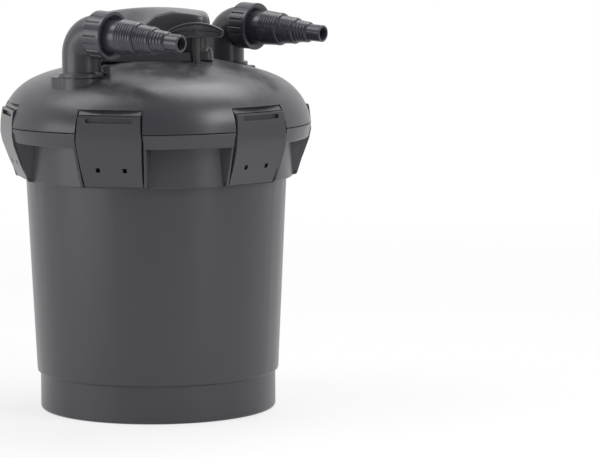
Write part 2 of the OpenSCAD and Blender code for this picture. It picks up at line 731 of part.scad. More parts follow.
module quartz_sleeve() {
    z0 = sleeve_z - quartz_len;
    color("#c8d8e0", 0.4) difference() {
        union() {
            translate([0, 0, z0 + sleeve_r]) cylinder(h = quartz_len - sleeve_r, r = sleeve_r);
            translate([0, 0, z0 + sleeve_r]) sphere(sleeve_r);
            translate([0, 0, sleeve_z]) cylinder(h = 3, r = sleeve_r + 3);
        }
        translate([0, 0, z0 + sleeve_r]) cylinder(h = quartz_len, r = sleeve_r - sleeve_t);
        translate([0, 0, z0 + sleeve_r]) sphere(sleeve_r - sleeve_t);
    }
}

module quartz_seal() {
    color("#202022") ring(sleeve_r + 3.6, sleeve_r + 0.2, sleeve_z + 3, sleeve_z + 5.4);
}

module quartz_clamp() {
    color(dark) difference() {
        union() {
            ring(sleeve_r + 3.7, sleeve_r - 1, sleeve_z + 5.4, hood_z);
            ring(sleeve_r + 8, sleeve_r - 1, hood_z, hood_z + 3);
        }
        for (a = [0:45:315]) rotate([0, 0, a]) translate([sleeve_r + 8, 0, hood_z - cut])
            cylinder(h = 3 + 2 * cut, r = 2, $fn = 24);
    }
}

module lamp_socket() {
    color("white") translate([0, 0, hood_z + 3]) {
        cylinder(h = 10, r = sleeve_r + 1);
        translate([0, 0, -16]) cylinder(h = 17, r = sleeve_r - sleeve_t - 0.5);
    }
}

module uv_lamp() {
    z1 = hood_z - 13;
    lamp_len = quartz_len - 50;
    color("#e8ecf0") {
        translate([0, 0, z1 - 24]) cylinder(h = 24, r = sleeve_r - sleeve_t - 1);
        for (x = [-8.5, 8.5]) {
            translate([x, 0, z1 - lamp_len]) cylinder(h = lamp_len - 23, r = 6.5, $fn = 40);
            translate([x, 0, z1 - lamp_len]) sphere(6.5, $fn = 40);
        }
        translate([0, 0, z1 - lamp_len + 6]) rotate([0, 90, 0]) cylinder(h = 8, r = 3, center = true);
    }
}

module rod_seal() {
    color("#202022") rotate([0, 0, pull_a]) translate([pull_rho, 0, dome_z(pull_rho) - 15.8])
        ring(rod_r + 1.9, rod_r + run, 0, 3.6);
}

module pull_rod() {
    color(dark) translate([pull_x, -pull_y, press_z]) cylinder(h = grip_z + 10 - press_z, r = rod_r);
}

module grip_outline(inset) {
    end_h = 8.5;
    half = grip_w / 2 - inset;
    rise = grip_h - end_h;
    arch_r = (pow(grip_w / 2, 2) + rise * rise) / (2 * rise);
    intersection() {
        translate([0, grip_h - arch_r]) circle(arch_r - inset, $fn = 180);
        translate([-half, inset]) slab(0, 2 * half, 0, grip_h + 10, 4.2 - inset / 2);
    }
}

module pull_grip() {
    color(plastic) translate([pull_x, -pull_y, grip_z]) difference() {
        rotate([90, 0, 0]) difference() {
            linear_extrude(grip_t, center = true) grip_outline(0);
            for (side = [-1, 1]) translate([0, 0, side * grip_t / 2])
                linear_extrude(3, center = true) grip_outline(1.8);
        }
        translate([0, 0, -cut]) cylinder(h = 10 + cut, r = rod_r);
    }
}

module press_plate() {
    color(dark) difference() {
        ring(foam_r - 1, tube_r + slack + 0.2, press_z, press_z + press_t);
        translate([pull_x, -pull_y, press_z - cut]) cylinder(h = press_t + 2 * cut, r = rod_r);
        plate_windows(press_z, press_t, tube_r + 8, foam_r - 10);
    }
}

// Places its children, modelled along +X from the bend's corner, at a port's mouth.
module mouth(x, y) {
    translate([x, y, mouth_z]) rotate([0, droop, heading]) children();
}

// A solid turned about the mouth's axis, from points [distance, radius].
module lathe(points) {
    rotate([0, 90, 0]) rotate_extrude() polygon([for (p = points) [p[1], p[0]]]);
}

// An elbow in three tubes: riser, bend and spout, the last placed by the bend's own end.
module elbow(x, y) {
    riser = mouth_z - corner_len;
    color(plastic) difference() {
        union() {
            translate([x, y, 0]) {
                ring(pipe_r, bore_r, boss_z - port_len - 4, riser);
                translate([0, 0, riser]) rotate([0, 0, heading]) translate([bend_r, 0, 0]) rotate([90, 0, 180])
                    rotate_extrude(angle = 90 + droop) translate([bend_r, 0]) difference() {
                        circle(pipe_r + bend_lip, $fn = 64);
                        circle(bore_r + bend_lip, $fn = 64);
                    }
                ring(flange_r, pipe_r - 1, boss_z, boss_z + flange_h - 1);
                ring(flange_r - 0.8, pipe_r - 1, boss_z + 1, boss_z + flange_h);
            }
            translate([x, y, riser]) rotate([0, 0, heading]) translate([bend_r, 0, 0]) rotate([90, 0, 180])
                rotate([0, 0, 90 + droop]) translate([bend_r, 0, 0]) rotate([-90, 0, 0])
                    ring(thread_r, bore_r, 0, spigot_end - corner_len);
        }
        translate([x, y, 0]) ring(pipe_r + 1, pipe_r - 1.2, circlip_z, circlip_z + 2);
    }
}

circlip_z = boss_z - port_len - 2.4;

module o_ring(x, y) {
    color("#202022") translate([x, y, boss_z - 13.8]) ring(pipe_r + 1.7, pipe_r + run, 0, 3.6);
}

module circlip(x, y) {
    color("silver") translate([x, y, circlip_z + 0.2]) difference() {
        ring(pipe_r + 3, pipe_r - 1.1, 0, 1.6);
        translate([0, -3, -cut]) cube([pipe_r + 10, 6, 4]);
    }
}

// Barbed step: n rings from s0 over the length len, of radius r.
function barbs(s0, len, r, n) = let (p = (len - 2) / n) concat(
    [for (i = [0:n - 1], t = [0, 1]) t == 0 ? [s0 + i * p, r - 1.1] : [s0 + (i + 0.7) * p, r - 0.4]],
    [[s0 + len - 2, r], [s0 + len - 0.8, r], [s0 + len, r - 1]]);

module tail(x, y) {
    s_2 = tail_s + step_1;
    s_3 = s_2 + step_2;
    s_4 = s_3 + step_3;
    color(dark) mouth(x, y) difference() {
        lathe(concat(
            [[collar_s, 0], [collar_s, thread_r - 0.6], [collar_s + collar_t, thread_r - 0.6],
             [collar_s + collar_t, collar_r], [tail_s, collar_r]],
            barbs(tail_s, step_1, barb_r1, 6), barbs(s_2, step_2, barb_r2, 5), barbs(s_3, step_3, barb_r3, 3),
            [[s_4, tip_r], [tip_s - 1, tip_r], [tip_s, tip_r - 0.8], [tip_s, 0]]));
        lathe([[collar_s - cut, 0], [collar_s - cut, tail_bore], [tail_s, tail_bore],
            [tip_s - tip_len - 4, tip_bore_r], [tip_s + cut, tip_bore_r], [tip_s + cut, 0]]);
    }
}

module gasket(x, y) {
    color("#202022") mouth(x, y) translate([spigot_end, 0, 0]) rotate([0, 90, 0])
        ring(thread_r - 0.8, bore_r + 0.2, gasket_play, gasket_t);
}

module nut(x, y) {
    barrel = nut_r - 1.8;
    color(dark) mouth(x, y) difference() {
        union() {
            lathe([[nut_s, 0], [nut_s, barrel - 0.8], [nut_s + 0.8, barrel], [nut_end - 3.6, barrel],
                [nut_end - 3.6, nut_r - 0.2], [nut_end - 3.2, nut_r + 0.2], [nut_end - 0.6, nut_r + 0.2],
                [nut_end, nut_r - 0.4], [nut_end, 0]]);
            for (k = [0:nut_ribs - 1]) rotate([k * 360 / nut_ribs, 0, 0])
                translate([nut_s + 0.6, -3.3, barrel - 2])
                    cube([nut_len - 3, 6.6, nut_r - barrel + 1.7]);
        }
        lathe([[nut_s - cut, 0], [nut_s - cut, nut_bore_r], [nut_end - lip_t, nut_bore_r],
            [nut_end - lip_t, collar_r + slack], [nut_end - 3.2, collar_r + slack],
            [nut_end + 0.1, nut_r - 3.6], [nut_end + cut, nut_r - 3.6], [nut_end + cut, 0]]);
    }
}

tank();
clip_pins();
lid_seal();
lid();
top_plate();
outlet_duct();
centre_tube();
foam_ring(0);  // foam_ring_1
foam_ring(1);  // foam_ring_2
foam_ring(2);  // foam_ring_3
foam_ring(3);  // foam_ring_4
head_base();
head_screws();
hood();
ballast();
cable_gland();
quartz_sleeve();
quartz_seal();
quartz_clamp();
lamp_socket();
uv_lamp();
rod_seal();
pull_rod();
pull_grip();
press_plate();
clip_node(0);  // clip_1
clip_node(1);  // clip_2
clip_node(2);  // clip_3
clip_node(3);  // clip_4
clip_node(4);  // clip_5
clip_node(5);  // clip_6
elbow(-out_x, -out_y);  // inlet_elbow
o_ring(-out_x, -out_y);  // inlet_o_ring
circlip(-out_x, -out_y);  // inlet_circlip
tail(-out_x, -out_y);  // inlet_tail
gasket(-out_x, -out_y);  // inlet_gasket
nut(-out_x, -out_y);  // inlet_nut
elbow(out_x, out_y);  // outlet_elbow
o_ring(out_x, out_y);  // outlet_o_ring
circlip(out_x, out_y);  // outlet_circlip
tail(out_x, out_y);  // outlet_tail
gasket(out_x, out_y);  // outlet_gasket
nut(out_x, out_y);  // outlet_nut
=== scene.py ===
"""Canister pond filter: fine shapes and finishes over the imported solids."""
import json
from math import radians, sin, cos, tan, pi

import bpy
import numpy as np
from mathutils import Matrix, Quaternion, Vector


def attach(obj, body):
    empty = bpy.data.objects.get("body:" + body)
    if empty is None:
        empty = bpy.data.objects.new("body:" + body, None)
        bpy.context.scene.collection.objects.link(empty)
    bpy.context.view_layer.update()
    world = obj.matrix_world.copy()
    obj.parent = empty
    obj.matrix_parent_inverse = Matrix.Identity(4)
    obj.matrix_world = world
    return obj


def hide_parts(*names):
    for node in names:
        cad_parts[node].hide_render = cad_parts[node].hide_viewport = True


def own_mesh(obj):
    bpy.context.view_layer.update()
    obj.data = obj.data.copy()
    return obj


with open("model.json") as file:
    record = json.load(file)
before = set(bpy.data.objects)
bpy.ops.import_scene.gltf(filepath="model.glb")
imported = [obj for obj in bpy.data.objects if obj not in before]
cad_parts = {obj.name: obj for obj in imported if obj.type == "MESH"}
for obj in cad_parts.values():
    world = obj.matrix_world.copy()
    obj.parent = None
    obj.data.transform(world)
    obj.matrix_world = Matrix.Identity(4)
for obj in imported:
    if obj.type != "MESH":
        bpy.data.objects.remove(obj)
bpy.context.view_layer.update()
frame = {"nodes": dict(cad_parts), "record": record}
nodes = frame["nodes"]
MM = 0.001

# ---------------------------------------------------------------- camera and lamps, in m

CAMERA_PLACE = (0.0, -3.853, 0.657)
CAMERA_TURN, CAMERA_DIP, CAMERA_ROLL = radians(2.567), radians(6.556), radians(-0.23)
SENSOR_MM, LENS_MM, CAMERA_REACH = 36.0, 192.6, 50.0

# each lamp's place, the height on the part's axis that it faces, its width and height, and watts
LAMPS = {"left_box": ((-2.2, -1.05, 0.62), 0.28, (2.0, 1.15), 21),
         "right_strip": ((1.6, -1.8, 0.8), 0.28, (0.4, 1.7), 7),
         "overhead": ((0.6, 0.55, 2.2), 0.35, (1.4, 1.2), 23),
         "right_high": ((1.6, -1.13, 1.72), 0.35, (0.9, 0.8), 19),
         "left_high": ((-1.3, 0.0, 2.25), 0.35, (1.2, 1.2), 15)}


def make_camera():
    """A long lens, turned a little to the right, tipped down and hardly rolled."""
    turn, dip = CAMERA_TURN, CAMERA_DIP
    look = Vector((sin(turn) * cos(dip), cos(turn) * cos(dip), -sin(dip)))
    data = bpy.data.cameras.new("Camera")
    data.sensor_width, data.lens, data.clip_end = SENSOR_MM, LENS_MM, CAMERA_REACH
    cam = bpy.data.objects.new("Camera", data)
    cam.location = CAMERA_PLACE
    roll = Quaternion((0, 0, 1), CAMERA_ROLL)
    cam.rotation_euler = (look.to_track_quat("-Z", "Y") @ roll).to_euler()
    bpy.context.scene.collection.objects.link(cam)
    bpy.context.scene.camera = cam


def soft_lamp(name, place, aim_z, size, power):
    """A rectangular lamp at place that faces the height aim_z on the part's axis."""
    data = bpy.data.lights.new(name, "AREA")
    data.energy, data.shape = power, "RECTANGLE"
    data.size, data.size_y = size
    lamp = bpy.data.objects.new(name, data)
    lamp.location = place
    look = Vector((0, 0, aim_z)) - Vector(place)
    lamp.rotation_euler = look.to_track_quat("-Z", "Y").to_euler()
    bpy.context.scene.collection.objects.link(lamp)


# ---------------------------------------------------------------- node maths


class Val:
    """A socket. Arithmetic on it adds Math nodes to its graph."""

    def __init__(self, graph, socket):
        self.graph, self.socket = graph, socket

    def math(self, operation, *others, clamp=False):
        settings = {"operation": operation, "use_clamp": clamp}
        return self.graph.node("ShaderNodeMath", settings, self, *others)

    def __add__(self, o): return self.math("ADD", o)
    def __radd__(self, o): return self.math("ADD", o)
    def __sub__(self, o): return self.math("SUBTRACT", o)
    def __rsub__(self, o): return self.math("MULTIPLY_ADD", -1.0, o)
    def __mul__(self, o): return self.math("MULTIPLY", o)
    def __rmul__(self, o): return self.math("MULTIPLY", o)
    def clamp(self): return self.math("MULTIPLY", 1.0, clamp=True)
    def larger(self, o): return self.math("MAXIMUM", o)

    def ramp(self, low, high, start=0.0, end=1.0):
        """start at low and end at high, eased between them."""
        return self.graph.node("ShaderNodeMapRange", {"interpolation_type": "SMOOTHSTEP"},
                               Value=self, From_Min=low, From_Max=high, To_Min=start, To_Max=end)


class Graph:
    """A node tree whose nodes come from one method."""

    def __init__(self, tree):
        self.tree = tree

    def node(self, kind, settings, *values, out=0, at=None, **named):
        """A node whose settings are made first. Values and links then go to its sockets in order,
        by their numbers in at, and by name, with _ for a space. Gives the socket called out."""
        n = self.tree.nodes.new(kind)
        for key, value in settings.items():
            setattr(n, key, value)
        numbered = {**dict(enumerate(values)), **(at or {})}
        for i, v in numbered.items():
            self.feed(v, n.inputs[i])
        for key, v in named.items():
            self.feed(v, n.inputs[key.replace("_", " ")])
        return Val(self, n.outputs[out])

    def feed(self, v, socket):
        """Links a Val to a socket, or sets a plain value on it."""
        if isinstance(v, Val):
            self.tree.links.new(v.socket, socket)
        else:
            socket.default_value = v

    def ray(self, kind):
        """1 where a ray of this kind looks at the surface."""
        return self.node("ShaderNodeLightPath", {}, out=f"Is {kind} Ray")


class Finish(Graph):
    """A material, with its constants set on the shader's own sockets."""

    def __init__(self, name, **constants):
        self.mat = bpy.data.materials.new(name)
        self.mat.use_nodes = True
        super().__init__(self.mat.node_tree)
        self.shader = self.tree.nodes["Principled BSDF"]
        self.connect(**constants)
        self.place = self.node("ShaderNodeTexCoord", {}, out="Object")

    def connect(self, **sockets):
        for key, v in sockets.items():
            self.feed(v, self.shader.inputs[key.replace("_", " ")])
        return self.mat

    def noise(self, scale, detail=3.0, roughness=0.55, place=None):
        return self.node("ShaderNodeTexNoise", {}, out="Fac", Vector=place or self.place,
                         Scale=scale, Detail=detail, Roughness=roughness)

    def cells(self, scale):
        return self.node("ShaderNodeTexVoronoi", {"feature": "F1"}, out="Distance",
                         Vector=self.place, Scale=scale)

    def stretch(self, x, y, z):
        """Object coordinates scaled by x, y and z."""
        return self.node("ShaderNodeVectorMath", {"operation": "MULTIPLY"}, self.place, (x, y, z))

    def facing_up(self):
        """The upward part of the surface normal."""
        normal = self.node("ShaderNodeNewGeometry", {}, out="Normal")
        return self.node("ShaderNodeSeparateXYZ", {}, normal, out="Z")

    def blend(self, mask, a, b):
        """Colour a where mask is 0 and colour b where it is 1."""
        a, b = (v if isinstance(v, Val) else (*v, 1.0) for v in (a, b))
        return self.node("ShaderNodeMix", {"data_type": "RGBA"}, out=2, at={0: mask, 6: a, 7: b})

    def bump(self, height, depth, strength=1.0, under=None):
        """The normal of a relief of this depth in m, laid over the one under it."""
        below = {"Normal": under} if under else {}
        return self.node("ShaderNodeBump", {}, Height=height, Distance=depth, Strength=strength,
                         **below)


# ---------------------------------------------------------------- finishes, in linear colours

RUBBED, DUST = (0.27, 0.27, 0.28), (0.36, 0.35, 0.33)
FITTING_RUBBED, FITTING_DUST = (0.24, 0.24, 0.27), (0.34, 0.33, 0.32)
RUBBER_BLACK, RUBBER_BLOOM = (0.012, 0.012, 0.012), (0.045, 0.045, 0.043)
STEEL, STEEL_STAIN = (0.6, 0.6, 0.61), (0.36, 0.33, 0.29)
SILT, LIME = (0.09, 0.07, 0.04), (0.75, 0.74, 0.7)


def moulded_plastic(name, base, pale, rough, grain=1.0, scuffs=1.0, dust=1.0):
    """Satin moulded plastic: fine spark-eroded grain, cloudy gloss, rubbed marks and thin dust."""
    f = Finish(name, IOR=1.48)
    cloud = f.noise(9.0, 4.0)
    fine = f.noise(1400.0, 2.0)
    flow = f.noise(1.0, 3.0, place=f.stretch(30.0, 30.0, 5.0))
    rub = f.noise(1.0, 5.0, 0.65, place=f.stretch(60.0, 60.0, 320.0)).ramp(0.66, 0.76)
    rub = rub * f.noise(14.0).ramp(0.5, 0.68)
    settled = f.facing_up().ramp(0.35, 1.0) * f.noise(38.0, 6.0, 0.7).ramp(0.42, 0.75)
    settled = settled * (0.16 * dust)
    tone = (cloud - 0.5) * 0.5 + (flow - 0.5) * 0.3 + 0.35
    colour = f.blend(tone.clamp(), base, pale)
    colour = f.blend((rub * 0.28 * scuffs).clamp(), colour, RUBBED)
    colour = f.blend(settled.clamp(), colour, DUST)
    gloss = rough + (cloud - 0.5) * 0.12 + rub * 0.12 * scuffs + settled * 0.9
    gloss = gloss + (fine - 0.5) * 0.06
    relief = f.bump(fine, 0.00006 * grain, 0.5)
    relief = f.bump(f.noise(160.0, 2.0), 0.0002 * grain, 0.25, relief)
    return f.connect(Base_Color=colour, Roughness=gloss.clamp(), Normal=relief)


def spun_plastic(name, base, pale, rough):
    """Harder, glossier fitting plastic with a faint bluish cast."""
    f = Finish(name, IOR=1.5)
    cloud = f.noise(22.0, 4.0)
    fine = f.noise(1100.0, 2.0)
    rub = f.noise(90.0, 5.0, 0.7).ramp(0.62, 0.75) * f.noise(25.0).ramp(0.5, 0.7)
    settled = f.facing_up().ramp(0.4, 1.0) * f.noise(55.0, 6.0, 0.7).ramp(0.45, 0.75) * 0.12
    colour = f.blend(cloud.ramp(0.3, 0.7), base, pale)
    colour = f.blend((rub * 0.22).clamp(), colour, FITTING_RUBBED)
    colour = f.blend(settled.clamp(), colour, FITTING_DUST)
    gloss = rough + (cloud - 0.5) * 0.14 + rub * 0.14 + settled
    return f.connect(Base_Color=colour, Roughness=gloss.clamp(), Normal=f.bump(fine, 0.00005, 0.5))


def rubber(name):
    """Matt black rubber with a dry bloom."""
    f = Finish(name)
    bloom = f.noise(60.0, 6.0, 0.7)
    return f.connect(Base_Color=f.blend(bloom.ramp(0.4, 0.75), RUBBER_BLACK, RUBBER_BLOOM),
                     Roughness=(0.62 + (bloom - 0.5) * 0.3).clamp(),
                     Normal=f.bump(f.noise(700.0), 0.0001, 0.4))


def steel(name):
    """Drawn stainless steel with fine lines across its height."""
    f = Finish(name, Metallic=1.0)
    lines = f.noise(1.0, 3.0, place=f.stretch(90.0, 90.0, 1800.0))
    stain = f.noise(45.0, 5.0, 0.6).ramp(0.55, 0.8)
    return f.connect(Base_Color=f.blend(stain * 0.4, STEEL, STEEL_STAIN),
                     Roughness=(0.24 + (lines - 0.5) * 0.25 + stain * 0.2).clamp(),
                     Normal=f.bump(lines, 0.00004, 0.4))


def open_foam(name, base, pore_shade, pores):
    """Open-celled filter foam: cell walls around pores painted dark as the shade inside them,
    browned by silt in patches.
    """
    f = Finish(name)
    cell = f.cells(pores)
    small = f.cells(pores * 2.3)
    # painted shade: each cell's centre, where the pore is, is coloured darker as the shade inside
    # it
    pore_shade_mask = 1.0 - cell.ramp(0.18, 0.5) * 0.75 - small.ramp(0.2, 0.5) * 0.25
    silt = f.noise(18.0, 6.0, 0.7).ramp(0.48, 0.8)
    colour = f.blend(pore_shade_mask.clamp(), base, pore_shade)
    colour = f.blend(silt * 0.45, colour, SILT)
    return f.connect(Base_Color=colour, Roughness=(0.85 + (cell - 0.3) * 0.2).clamp(),
                     Normal=f.bump(cell * 0.7 + small * 0.3, 0.0016, 0.9))


def clear_glass(name, tint, rough):
    """Clear glass with a trace of lime on it."""
    f = Finish(name, IOR=1.46, Transmission_Weight=1.0)
    lime = f.noise(40.0, 6.0, 0.7).ramp(0.55, 0.85)
    return f.connect(Base_Color=f.blend(lime * 0.4, tint, LIME),
                     Roughness=(rough + lime * 0.25).clamp())


def glazed(name, base, rough):
    """A smooth pale moulding or casting with faint mottling."""
    f = Finish(name)
    cloud = f.noise(30.0, 4.0)
    return f.connect(Base_Color=f.blend(cloud, base, tuple(0.9 * c for c in base)),
                     Roughness=(rough + (cloud - 0.5) * 0.15).clamp(),
                     Normal=f.bump(f.noise(500.0), 0.00005, 0.4))


# ---------------------------------------------------------------- surfaces


def surface(name, points, close_rows=False, close_cols=True, caps=False):
    """A mesh over a grid of points (rows, columns, 3) in mm. Faces run along rows, then columns.
    Either way can close on itself, and caps closes the first and last row with a fan."""
    points = np.asarray(points, float)
    rows, cols = points.shape[:2]
    index = np.arange(rows * cols).reshape(rows, cols)
    row, after = (index, np.roll(index, -1, 0)) if close_rows else (index[:-1], index[1:])
    if close_cols:
        corners = (row, np.roll(row, -1, 1), np.roll(after, -1, 1), after)
    else:
        corners = (row[:, :-1], row[:, 1:], after[:, 1:], after[:, :-1])
    faces = np.stack(corners, -1).reshape(-1, 4).tolist()
    verts = points.reshape(-1, 3)
    if caps:
        first, last, n = index[0], index[-1], rows * cols
        verts = np.vstack([verts, points[0].mean(0), points[-1].mean(0)])
        faces += np.stack([np.roll(first, -1), first, np.full(cols, n)], -1).tolist()
        faces += np.stack([last, np.roll(last, -1), np.full(cols, n + 1)], -1).tolist()
    mesh = bpy.data.meshes.new(name)
    mesh.from_pydata((verts * MM).tolist(), [], faces)
    mesh.polygons.foreach_set("use_smooth", np.ones(len(mesh.polygons), bool))
    mesh.update()
    obj = bpy.data.objects.new(name, mesh)
    bpy.context.scene.collection.objects.link(obj)
    return obj


def dress(obj, mat):
    """Gives a piece or a CAD node one finish."""
    if not obj.material_slots:
        obj.data.materials.append(mat)
    for s in obj.material_slots:
        s.material = mat


def add_piece(obj, mat, body, node):
    """Dresses a new piece that rides on a body and stands for a node."""
    dress(obj, mat)
    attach(obj, body)
    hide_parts(node)
    return obj


def ease(t):
    """0 below 0 and 1 above 1, and 3 t squared less 2 t cubed between."""
    t = np.clip(t, 0, 1)
    return t * t * (3 - 2 * t)


def smooth_steps(keys, n):
    """n places along a polyline of (a, b) keys, on a cubic that doesn't overshoot. Its slope at a
    key is the harmonic mean of the slopes beside it, or 0 where they differ in sign."""
    keys = np.asarray(keys, float)
    slope = np.diff(keys, axis=0)
    before, after = slope[:-1], slope[1:]
    total = np.where(before + after == 0, 1, before + after)
    inner = np.where(before * after > 0, 2 * before * after / total, 0)
    slope = np.vstack([slope[:1], inner, slope[-1:]])
    u = np.linspace(0, len(keys) - 1, n)
    k = np.minimum(u.astype(int), len(keys) - 2)
    x = (u - k)[:, None]
    return ((2 * x**3 - 3 * x**2 + 1) * keys[k] + (x**3 - 2 * x**2 + x) * slope[k]
            + (-2 * x**3 + 3 * x**2) * keys[k + 1] + (x**3 - x**2) * slope[k + 1])


def rounded(corners, n=5):
    """A polyline of (a, b, size) corners, each inner one replaced by a quadratic curve of n points
    that starts and ends its size away from the corner, or 0.45 of a leg where that is less."""
    corners = np.asarray(corners, float)
    path, sizes = corners[:, :2], corners[:, 2]
    t = np.linspace(0, 1, n)[:, None]
    out = [path[:1]]
    for p, q, r, size in zip(path[:-2], path[1:-1], path[2:], sizes[1:-1]):
        back, ahead = p - q, r - q
        back_len, ahead_len = np.hypot(*back), np.hypot(*ahead)
        size = min(size, 0.45 * back_len, 0.45 * ahead_len)
        start, end = q + back / back_len * size, q + ahead / ahead_len * size
        out.append((1 - t)**2 * start + 2 * t * (1 - t) * q + t**2 * end)
    out.append(path[-1:])
    return np.vstack(out)


# ---------------------------------------------------------------- the solids' sizes, in mm

# hood: foot's height, width, reach to the front and back, its own height and its hollow's depth
HOOD_Z, HOOD_W, HOOD_FRONT, HOOD_BACK, HOOD_H, HOLLOW = 435.447, 133.5, 46.0, 58.0, 46.0, 30.0
HOOD_MID, HOOD_HALF, HOOD_WALL = (HOOD_BACK - HOOD_FRONT) / 2, (HOOD_BACK + HOOD_FRONT) / 2, 3.0
# the top's fall to its sides and ends, and where the hollow starts and the length it deepens over
CROWN_SIDE, CROWN_END = 6.6, 2.0
HOLLOW_X, HOLLOW_Y, HOLLOW_RUN_X, HOLLOW_RUN_Y = 14.0, 15.0, 54.0, 61.0

# ports: the right one's place from above, and the heights of the mouths and of the lid's bosses
PORT = np.array([86.2515, 99.9233])
MOUTH_Z, BOSS_Z = 457.57, 405.87
HEADING, DROOP = radians(-38), radians(3.5)

# elbow's pipe, with the bend's radius to its centre line and the length that it takes of each leg
PIPE_R, BORE_R, BEND_R = 22.8, 19.8, 23.8
TURN = pi / 2 + DROOP
CORNER = BEND_R * tan(TURN / 2)
# its foot's length below the boss, the flange on the boss, the circlip's groove up from the foot's
# end with its width and depth, and the parting line's half width and height
FOOT_LEN, FLANGE_H, FLANGE_OUT = 34.0, 5.0, 4.6
GROOVE_S, GROOVE_W, GROOVE_D = 1.6, 2.0, 1.2
SEAM_W, SEAM_H = 0.35, 0.18

# thread and union nut, measured along the mouth's axis, the spigot's end inside it, and its ribs
THREAD_R, NUT_R, NUT_LEN, NUT_LIP = PIPE_R + 0.9, 28.5, 23.3, 5.2
NUT_S = (PIPE_R + 0.3 + NUT_R * sin(DROOP)) / cos(DROOP) + 0.02
SPIGOT = NUT_S + 11.6
NUT_END = NUT_S + NUT_LEN
BARREL_R, NUT_BORE, NUT_RIBS, RIB_H, RIB_FADE = NUT_R - 0.3, THREAD_R + 0.3, 20, 1.75, 1.2

# hose tail: each step's radius, length and number of rings, then its collar, neck and tip
BARBS = ((20.5, 26.5, 6), (16.7, 21.8, 5), (13.2, 18.4, 3))
COLLAR_R, TAIL_NECK, TIP_R, TIP_LEN, TIP_BORE = 19.6, 13.6, 10.2, 18.9, 7.4

# foam stack's top, a ring's height and radius, and the centre tube's radius
STACK_Z, FOAM_H, FOAM_R, TUBE_R = 326.0, 56.5, 127.0, 45.0

# pull rod's place from above, and its grip
PULL = (47.5, -56.0)
GRIP_Z, GRIP_W, GRIP_H, GRIP_T, ARCH_R = 448.477, 66.0, 18.0, 13.0, 62.066
# the radius of its foot's corners, and half the width of the web that carries the rod
GRIP_CORNER, ROD_ROOM = 4.2, 8.5

# the mouth's axis, the level way across it, and the upward way
ALONG = np.array([cos(HEADING) * cos(DROOP), sin(HEADING) * cos(DROOP), -sin(DROOP)])
ACROSS = np.array([-sin(HEADING), cos(HEADING), 0.0])
UPWARD = np.cross(ALONG, ACROSS)


# ---------------------------------------------------------------- elbows, nuts and tails


def turned(name, profile, side, cols=144, ripple=None):
    """A solid turned about a mouth's axis. profile holds (distance, radius) from the outside's
    back, over the front and back through the bore, and ripple(distance, angle, radius) adds to the
    radius. side is -1 for the left port and 1 for the right one."""
    s, r = np.asarray(profile, float).T
    a = np.linspace(0, 2 * pi, cols, endpoint=False)
    radius = np.repeat(r[:, None], cols, 1)
    if ripple:
        radius = radius + ripple(s[:, None], a[None], radius)
    centre = np.array([*side * PORT, MOUTH_Z]) + s[:, None, None] * ALONG
    around = np.cos(a)[None, :, None] * UPWARD + np.sin(a)[None, :, None] * ACROSS
    points = centre + radius[..., None] * around
    return surface(name, points[:, ::-1], close_rows=True)


def union_nut(name, side):
    """Outer face: a barrel whose radius falls by the groove depth where |sin(ribs * angle / 2)| is
    small, faded in and out along the nut, and a plain front lip with a deep bevelled mouth."""
    step, lip, mouth_r = NUT_END - 3.7, NUT_END - NUT_LIP, COLLAR_R + 0.3
    profile = rounded([(NUT_S, NUT_BORE, 0), (NUT_S, BARREL_R, 1.0), (step, BARREL_R, 0.3),
                       (step, NUT_R + 0.2, 0.4), (NUT_END, NUT_R + 0.2, 0.7),
                       (NUT_END, NUT_R - 3.6, 0.5), (NUT_END - 3.2, mouth_r, 0.4),
                       (lip, mouth_r, 0.3), (lip, NUT_BORE, 0.3), (NUT_S, NUT_BORE, 0)], 6)
    fine = np.linspace(NUT_S + 1.0, NUT_END - 4.0, 26)
    barrel = np.stack([fine, np.full_like(fine, BARREL_R)], -1)
    coarse = np.abs(profile[:, 1] - BARREL_R) < 0.01
    first = np.argmax(coarse)
    profile = np.vstack([profile[:first], barrel, profile[first:][~coarse[first:]]])

    def grooves(s, a, radius):
        across = np.abs(np.sin(NUT_RIBS * a / 2))
        depth = RIB_H * (1 - ease((across - 0.12) / 0.24))
        fade_in, fade_out = (s - NUT_S - 0.2) / RIB_FADE, (NUT_END - 4.0 - s) / RIB_FADE
        along = np.clip(fade_in, 0, 1) * np.clip(fade_out, 0, 1)
        return -depth * along * (radius > NUT_R - 1.6)

    return turned(name, profile, side, 320, grooves)


def hose_tail(name, side):
    """A collar inside the nut, a smooth neck, three steps of rounded rings and a plain tip. Each
    ring rises steeply at its back and eases down to the next. A step's rings shrink evenly towards
    the tip, and the step ends in a wider lip with a short cone."""
    collar, back, neck = SPIGOT + 2.0, NUT_END - NUT_LIP - 0.3, NUT_END + TAIL_NECK
    collar_r, bore, lip_len = THREAD_R - 0.6, COLLAR_R - 3.3, 5.4
    path = [(collar, collar_r, 0), (back, collar_r, 0.4), (back, COLLAR_R, 0.4),
            (neck, COLLAR_R, 0.3)]
    s = neck
    for r, length, rings in BARBS:
        pitch = (length - lip_len) / rings
        for k in range(rings):
            rise, start = r + 0.5 - 1.3 * k / rings, s + k * pitch
            path += [(start + 0.35, rise - 0.95, 0.5), (start + 0.3 * pitch, rise, 0.7),
                     (start + 0.75 * pitch, rise - 0.2, 0.9)]
        s += length
        path += [(s - 5.2, r - 1.5, 0.4), (s - 4.3, r - 0.35, 0.9), (s - 1.9, r - 0.75, 1.2),
                 (s + 0.3, r - 2.3, 1.0)]
    tip = s + TIP_LEN
    path += [(s, TIP_R, 0.5), (tip, TIP_R, 1.3), (tip, TIP_BORE, 0.9), (s - 4, TIP_BORE, 2.0),
             (neck, bore, 2.0), (collar, bore, 0.3), (collar, collar_r, 0)]
    return turned(name, rounded(path), side)


